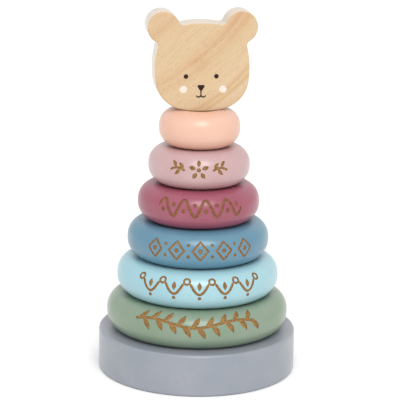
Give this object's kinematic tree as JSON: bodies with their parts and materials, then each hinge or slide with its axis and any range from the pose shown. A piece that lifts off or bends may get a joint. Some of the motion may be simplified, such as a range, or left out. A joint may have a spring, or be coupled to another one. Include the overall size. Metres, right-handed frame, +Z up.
{
  "type": "stacking ring toy",
  "caption": "Wooden stacking toy: graded round-edged painted rings on a post in a thick disc base, closed by a flat bear's head.",
  "frame": {"origin": "centre of the base's underside, on the post's axis", "axes": "+Z up along the post, the bear's face looks along -Y, +X is to the right when facing it"},
  "size_m": [0.1058, 0.1058, 0.1947],
  "materials": {
    "base_disc": "satin grey-blue lacquer on wood",
    "center_post": "fine-sanded bare wood",
    "ring_sage": "satin sage green lacquer on wood",
    "ring_aqua": "satin pale aqua lacquer on wood",
    "ring_blue": "satin dusty blue lacquer on wood",
    "ring_plum": "satin dusty plum lacquer on wood",
    "ring_pink": "satin dusty pink lacquer on wood",
    "ring_peach": "satin peach lacquer on wood",
    "bear_head": "fine-sanded bare wood face with a pale painted rim"
  },
  "bodies": {
    "root": {"base_disc": "base_disc", "center_post": "center_post"},
    "ring_sage": {"ring_sage": "ring_sage"},
    "ring_aqua": {"ring_aqua": "ring_aqua"},
    "ring_blue": {"ring_blue": "ring_blue"},
    "ring_plum": {"ring_plum": "ring_plum"},
    "ring_pink": {"ring_pink": "ring_pink"},
    "ring_peach": {"ring_peach": "ring_peach"},
    "bear_head": {"bear_head": "bear_head"}
  },
  "joints": [
    {"name": "ring_sage_lift", "type": "slide", "parent": "root", "child": "ring_sage", "axis": [0, 0, 1], "range_m": [0, 0.145]},
    {"name": "ring_aqua_lift", "type": "slide", "parent": "ring_sage", "child": "ring_aqua", "axis": [0, 0, 1], "range_m": [0, 0.125]},
    {"name": "ring_blue_lift", "type": "slide", "parent": "ring_aqua", "child": "ring_blue", "axis": [0, 0, 1], "range_m": [0, 0.105]},
    {"name": "ring_plum_lift", "type": "slide", "parent": "ring_blue", "child": "ring_plum", "axis": [0, 0, 1], "range_m": [0, 0.085]},
    {"name": "ring_pink_lift", "type": "slide", "parent": "ring_plum", "child": "ring_pink", "axis": [0, 0, 1], "range_m": [0, 0.065]},
    {"name": "ring_peach_lift", "type": "slide", "parent": "ring_pink", "child": "ring_peach", "axis": [0, 0, 1], "range_m": [0, 0.045]},
    {"name": "bear_head_lift", "type": "slide", "parent": "ring_peach", "child": "bear_head", "axis": [0, 0, 1], "range_m": [0, 0.026]}
  ]
}
